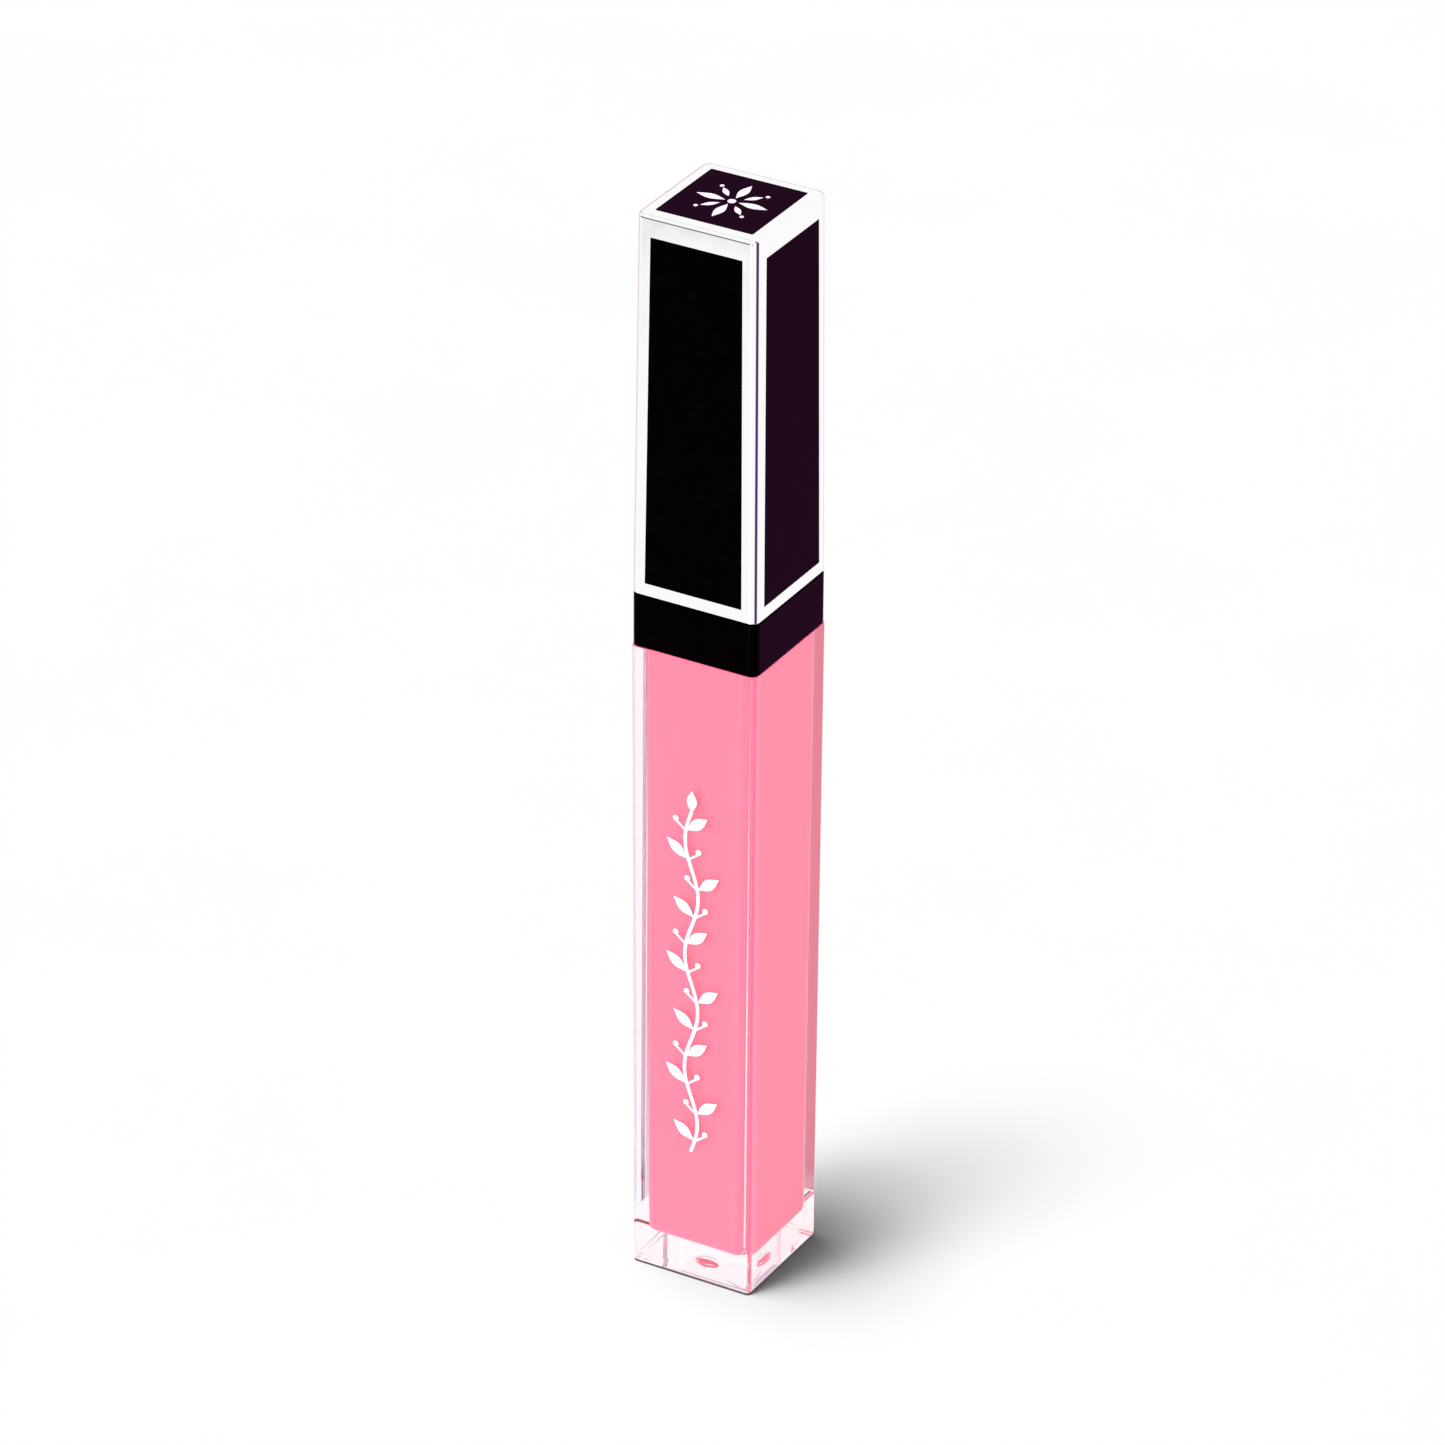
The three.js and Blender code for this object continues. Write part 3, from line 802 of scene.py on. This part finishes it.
clear_bottle = add_piece(make_bottle(), "bottle", "bottle", "clear_bottle", clear, wetted)
gloss = add_piece(make_gloss(), "bottle", "gloss", "pink_gloss", pink_gloss())
add_piece(make_collar(), "bottle", "collar", "black_collar", lacquer)
add_piece(make_wiper(), "bottle", "wiper", "soft_plastic", milky_plastic())
add_piece(make_cap_shell(), "cap", "cap_frame", "bright_frame", chrome_plate())
add_piece(make_inner_cap(), "cap", "cap_liner", "liner_plastic", white_plastic)
add_piece(make_rod(), "cap", "wand_rod", "rod_plastic", rod_plastic)
add_piece(make_flock_tip(), "cap", "applicator_flock", "flock", wet_flock())
add_piece(make_front_print(), "bottle", None, None, white_ink)
add_piece(make_top_print(), "cap", None, None, pale_ink)

for name in ("panel_front", "panel_right", "panel_back", "panel_left", "panel_top"):
    dress(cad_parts[name], lacquer)
dress(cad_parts["cap_weight"], turned_steel())
dress(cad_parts["seal_washer"], foam_surface())
dress(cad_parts["applicator_core"], rod_plastic)


# ---- floor, light and camera -------------------------------------------------------------------
def direction(azimuth, elevation):
    """Unit vector to a place round the object. Azimuth 0 is in front of it, 90 to its right."""
    a, e = math.radians(azimuth), math.radians(elevation)
    return Vector((math.sin(a) * math.cos(e), -math.cos(a) * math.cos(e), math.sin(e)))


def make_floor():
    """A wide pale floor that reflections and the clear plastic don't show."""
    half = 3.0
    below = 0.00002
    mesh = bpy.data.meshes.new("floor")
    corners = [(-half, -half), (half, -half), (half, half), (-half, half)]
    mesh.from_pydata([(x, y, -below) for x, y in corners], [], [(0, 1, 2, 3)])
    floor = bpy.data.objects.new("floor", mesh)
    bpy.context.scene.collection.objects.link(floor)
    surface = Surface("pale_floor", roughness=0.9, specular=0.0)
    surface.color_from(surface.noise(30, 3), (0.897, 0.897, 0.89), (0.903, 0.903, 0.897))
    dress(floor, surface.material)
    floor.visible_glossy = False
    floor.visible_transmission = False
    floor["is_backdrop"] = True


STUDIO_WHITE = (1.0, 1.0, 0.996)


class Sky:
    """The world's background and the few nodes that shape it by direction."""

    def __init__(self):
        world = bpy.data.worlds.new("studio")
        bpy.context.scene.world = world
        world.use_nodes = True
        self.nodes = world.node_tree.nodes
        self.links = world.node_tree.links
        self.background = self.nodes["Background"]
        coordinates = self.nodes.new("ShaderNodeTexCoord")
        self.direction = coordinates.outputs["Generated"]
        flat = self.math_vector("MULTIPLY", self.direction, (1, 1, 0))
        self.flat = self.math_vector("NORMALIZE", flat)

    def math_vector(self, operation, value, other=None):
        node = self.nodes.new("ShaderNodeVectorMath")
        node.operation = operation
        self.links.new(value, node.inputs[0])
        if other is not None:
            node.inputs[1].default_value = other
        return node.outputs["Value" if operation == "DOT_PRODUCT" else "Vector"]

    def math(self, operation, value, other):
        node = self.nodes.new("ShaderNodeMath")
        node.operation = operation
        for socket, given in zip(node.inputs, (value, other)):
            if isinstance(given, (int, float)):
                socket.default_value = given
            else:
                self.links.new(given, socket)
        return node.outputs[0]

    def step(self, value, start, end):
        """0 at start, 1 at end, eased between them."""
        node = self.nodes.new("ShaderNodeMapRange")
        node.interpolation_type = "SMOOTHSTEP"
        flipped = start > end
        node.inputs["From Min"].default_value = min(start, end)
        node.inputs["From Max"].default_value = max(start, end)
        node.inputs["To Min"].default_value = 1 if flipped else 0
        node.inputs["To Max"].default_value = 0 if flipped else 1
        self.links.new(value, node.inputs["Value"])
        return node.outputs["Result"]

    def azimuth_window(self, azimuth, half_width, softness):
        """1 within half_width degrees of an azimuth, falling to 0 over softness degrees."""
        facing = self.math_vector("DOT_PRODUCT", self.flat, direction(azimuth, 0))
        inner = math.cos(math.radians(half_width))
        outer = math.cos(math.radians(half_width + softness))
        return self.step(facing, outer, inner)

    def elevation_window(self, low, high, softness):
        """1 between two elevations in degrees, falling to 0 over softness degrees on each side."""
        rise = self.math_vector("DOT_PRODUCT", self.direction, (0, 0, 1))
        sine = [math.sin(math.radians(e)) for e in (low - softness, low, high, high + softness)]
        above_low = self.step(rise, sine[0], sine[1])
        below_high = self.step(rise, sine[3], sine[2])
        return self.math("MULTIPLY", above_low, below_high)

    def mix(self, share, first, second):
        node = self.nodes.new("ShaderNodeMixRGB")
        for socket, given in (("Fac", share), ("Color1", first), ("Color2", second)):
            if isinstance(given, tuple):
                node.inputs[socket].default_value = (*given, 1)
            else:
                self.links.new(given, node.inputs[socket])
        return node.outputs["Color"]


def mirrored_studio(sky):
    """What the mirror finishes show: white all round, with a few dark or tinted patches and one
    bright strip in front."""
    purple_side = sky.azimuth_window(72, 12, 10)
    grey_side = sky.azimuth_window(252, 8, 14)
    low_front = sky.math("MULTIPLY", sky.azimuth_window(-32, 38, 10), sky.elevation_window(-22, 0, 3))
    low_back = sky.math("MULTIPLY", sky.azimuth_window(210, 28, 8), sky.elevation_window(-30, 14, 4))
    bright_strip = sky.azimuth_window(-8, 3, 2)
    color = sky.mix(purple_side, STUDIO_WHITE, (0.1, 0.03, 0.156))
    color = sky.mix(grey_side, color, (0.8, 0.76, 0.82))
    color = sky.mix(low_front, color, (0.12, 0.07, 0.14))
    color = sky.mix(low_back, color, (0.66, 0.42, 0.56))
    return sky.mix(bright_strip, color, (6.0, 5.6, 6.0))


def make_world():
    """Surroundings that differ by the kind of ray: the mirrored studio in reflections, plain white
    for the camera and through the clear plastic, and a weak even light on everything else."""
    weak_light = (0.08, 0.08, 0.08)
    sky = Sky()
    path = sky.nodes.new("ShaderNodeLightPath").outputs
    passed_through = sky.math("GREATER_THAN", path["Is Transmission Ray"], path["Diffuse Depth"])
    looked_at = sky.math("MAXIMUM", path["Is Camera Ray"], passed_through)
    reflected_inside = sky.math("GREATER_THAN", path["Glossy Depth"], 0.5)
    brighter_in_front = sky.mix(sky.azimuth_window(20, 30, 20), (1.0, 0.97, 1.0), (4.5, 4.0, 4.6))
    seen = sky.mix(reflected_inside, STUDIO_WHITE, brighter_in_front)
    color = sky.mix(looked_at, weak_light, seen)
    color = sky.mix(path["Is Glossy Ray"], color, mirrored_studio(sky))
    sky.links.new(color, sky.background.inputs["Color"])


def make_sun(name, azimuth, elevation, strength, angle, color=(1.0, 1.0, 1.0)):
    """A distant light that reflections and the clear plastic don't show. angle is its apparent
    width in degrees."""
    data = bpy.data.lights.new(name, "SUN")
    data.energy = strength
    data.angle = math.radians(angle)
    data.color = color
    sun = bpy.data.objects.new(name, data)
    bpy.context.scene.collection.objects.link(sun)
    sun.rotation_euler = direction(azimuth, elevation).to_track_quat("Z", "Y").to_euler()
    sun.visible_transmission = False
    sun.visible_glossy = False
    return sun


def light_group(name, pieces):
    """A collection that light linking can name."""
    group = bpy.data.collections.new(name)
    for piece in pieces:
        group.objects.link(piece)
    return group


def make_overhead_lights():
    """A tall soft light from the front left, as suns one above the other, which give the floor a
    shadow that fades with distance."""
    width = 9
    stack = ((72, -28, 0.4), (78, -30, 0.65), (84, -38, 1.2), (85, -78, 0.88), (89, -60, 0.14))
    for elevation, azimuth, strength in stack:
        make_sun(f"overhead_{elevation}", azimuth, elevation, strength, width)


def make_side_lights():
    """Light from all sides and from below on the object alone, strongest from the front and cooler
    from the right and the back. The clear bottle doesn't shade the rest from it."""
    elevation = 15
    width = 30
    neutral = (1.0, 0.97, 1.03)
    cool = (0.91, 0.83, 1.18)
    level = (
        (-5, 2.2, neutral),
        (40, 1.0, neutral),
        (90, 1.75, cool),
        (180, 1.05, cool),
        (-90, 1.5, neutral),
        (-45, 0.9, neutral),
    )
    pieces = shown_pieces()
    lit = light_group("lit by the side lights", pieces)
    opaque = light_group("shades the side lights", [p for p in pieces if p is not clear_bottle])
    suns = []
    for azimuth, strength, color in level:
        suns.append(make_sun(f"side_{azimuth}", azimuth, elevation, strength, width, color))
    suns.append(make_sun("below", 0, -80, 2.6, width, neutral))
    for sun in suns:
        sun.light_linking.receiver_collection = lit
        sun.light_linking.blocker_collection = opaque


def make_camera():
    """Looks down at the object from its front right, through a long lens."""
    azimuth = 29.81
    elevation = 28.89
    yaw = math.radians(azimuth)
    roll = math.radians(0.41)
    distance = 0.839
    aim_height = 0.060
    aside = -0.00053  # of the aim, towards the picture's right
    above = 0.00056
    data = bpy.data.cameras.new("camera")
    data.lens = 213.5
    data.sensor_width = 36
    camera = bpy.data.objects.new("camera", data)
    bpy.context.scene.collection.objects.link(camera)
    back = direction(azimuth, elevation)
    level = Vector((math.cos(yaw), math.sin(yaw), 0))
    upright = back.cross(level)
    right = level * math.cos(roll) + upright * math.sin(roll)
    up = upright * math.cos(roll) - level * math.sin(roll)
    place = Vector((0, 0, aim_height)) + back * distance + right * aside + up * above
    turn = Matrix((right, up, back)).transposed()
    camera.matrix_world = Matrix.Translation(place) @ turn.to_4x4()
    bpy.context.scene.camera = camera


def let_light_through():
    """Enough bounces for light that is caught between the faces of the thick clear walls."""
    cycles = bpy.context.scene.cycles
    cycles.max_bounces = 32
    cycles.glossy_bounces = 24
    cycles.transmission_bounces = 24


make_floor()
make_world()
for piece in (gloss, clear_bottle):
    piece.visible_diffuse = False  # so that the floor takes no pink tint from them
make_overhead_lights()
make_side_lights()
make_camera()
let_light_through()
bpy.context.scene.view_settings.view_transform = "Standard"
